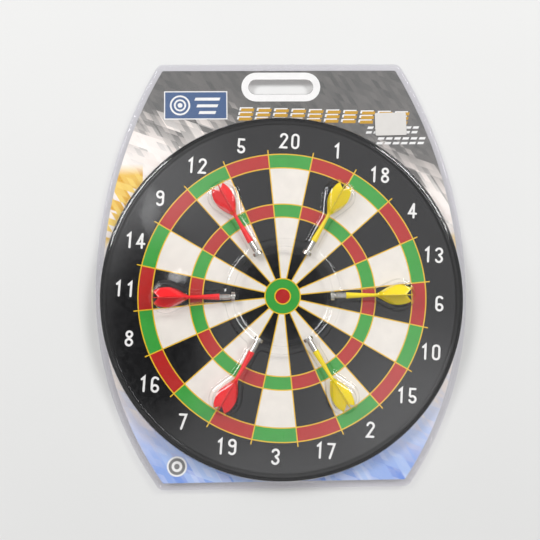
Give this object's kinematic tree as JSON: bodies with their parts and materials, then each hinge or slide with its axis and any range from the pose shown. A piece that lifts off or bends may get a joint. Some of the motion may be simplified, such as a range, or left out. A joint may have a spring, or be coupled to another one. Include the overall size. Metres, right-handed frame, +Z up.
{
  "type": "magnetic dartboard",
  "caption": "Round magnetic dartboard with a numbered face in a moulded rim, and finned magnetic darts laid on it, in a clear formed hanging display pack.",
  "frame": {"origin": "on the pack's flat back, straight behind the board's bull", "axes": "+Z up towards the hang slot, -Y out of the target face towards the player, +X to the player's right"},
  "size_m": [0.395, 0.0359, 0.453],
  "materials": {
    "clear_plastic": "gloss",
    "printed_card": "gloss",
    "label_paper": "matte",
    "rim_plastic": "gloss",
    "printed_face": "gloss",
    "tin_plate": "satin",
    "core_foam": "matte",
    "hardboard": "matte",
    "zinc_steel": "satin",
    "dart_plating": "polished",
    "magnet_nickel": "satin",
    "yellow_plastic": "gloss",
    "red_plastic": "gloss"
  },
  "bodies": {
    "pack_back": {"back_shell": "clear_plastic", "backing_card": "printed_card"},
    "board": {"rim_frame": "rim_plastic", "face_film": "printed_face", "target_plate": "tin_plate", "foam_core": "core_foam", "back_panel": "hardboard", "panel_screws": "zinc_steel", "hanger_plate": "zinc_steel", "hanger_rivets": "zinc_steel"},
    "front_cover": {"front_shell": "clear_plastic", "price_sticker": "label_paper"},
    "yellow_dart_1": {"yellow_dart_1_flight": "yellow_plastic", "yellow_dart_1_barrel": "dart_plating", "yellow_dart_1_head": "dart_plating", "yellow_dart_1_magnet": "magnet_nickel"},
    "yellow_dart_2": {"yellow_dart_2_flight": "yellow_plastic", "yellow_dart_2_barrel": "dart_plating", "yellow_dart_2_head": "dart_plating", "yellow_dart_2_magnet": "magnet_nickel"},
    "red_dart_1": {"red_dart_1_flight": "red_plastic", "red_dart_1_barrel": "dart_plating", "red_dart_1_head": "dart_plating", "red_dart_1_magnet": "magnet_nickel"},
    "red_dart_2": {"red_dart_2_flight": "red_plastic", "red_dart_2_barrel": "dart_plating", "red_dart_2_head": "dart_plating", "red_dart_2_magnet": "magnet_nickel"},
    "red_dart_3": {"red_dart_3_flight": "red_plastic", "red_dart_3_barrel": "dart_plating", "red_dart_3_head": "dart_plating", "red_dart_3_magnet": "magnet_nickel"},
    "yellow_dart_3": {"yellow_dart_3_flight": "yellow_plastic", "yellow_dart_3_barrel": "dart_plating", "yellow_dart_3_head": "dart_plating", "yellow_dart_3_magnet": "magnet_nickel"}
  },
  "joints": [
    {"name": "front_cover_lift", "type": "slide", "parent": "pack_back", "child": "front_cover", "axis": [0, -1, 0], "range_m": [0, 0.25]},
    {"name": "board_lift", "type": "slide", "parent": "pack_back", "child": "board", "axis": [0, -1, 0], "range_m": [0, 0.06]},
    {"name": "yellow_dart_1_lift", "type": "slide", "parent": "board", "child": "yellow_dart_1", "axis": [0, -1, 0], "range_m": [0, 0.09]},
    {"name": "yellow_dart_2_lift", "type": "slide", "parent": "board", "child": "yellow_dart_2", "axis": [0, -1, 0], "range_m": [0, 0.09]},
    {"name": "red_dart_1_lift", "type": "slide", "parent": "board", "child": "red_dart_1", "axis": [0, -1, 0], "range_m": [0, 0.09]},
    {"name": "red_dart_2_lift", "type": "slide", "parent": "board", "child": "red_dart_2", "axis": [0, -1, 0], "range_m": [0, 0.09]},
    {"name": "red_dart_3_lift", "type": "slide", "parent": "board", "child": "red_dart_3", "axis": [0, -1, 0], "range_m": [0, 0.09]},
    {"name": "yellow_dart_3_lift", "type": "slide", "parent": "board", "child": "yellow_dart_3", "axis": [0, -1, 0], "range_m": [0, 0.09]}
  ],
  "couplings": [
    {"joint": "board_lift", "follows": "front_cover_lift", "ratio": 0.24},
    {"joint": "yellow_dart_1_lift", "follows": "front_cover_lift", "ratio": 0.36},
    {"joint": "yellow_dart_2_lift", "follows": "front_cover_lift", "ratio": 0.36},
    {"joint": "red_dart_1_lift", "follows": "front_cover_lift", "ratio": 0.36},
    {"joint": "red_dart_2_lift", "follows": "front_cover_lift", "ratio": 0.36},
    {"joint": "red_dart_3_lift", "follows": "front_cover_lift", "ratio": 0.36},
    {"joint": "yellow_dart_3_lift", "follows": "front_cover_lift", "ratio": 0.36}
  ]
}
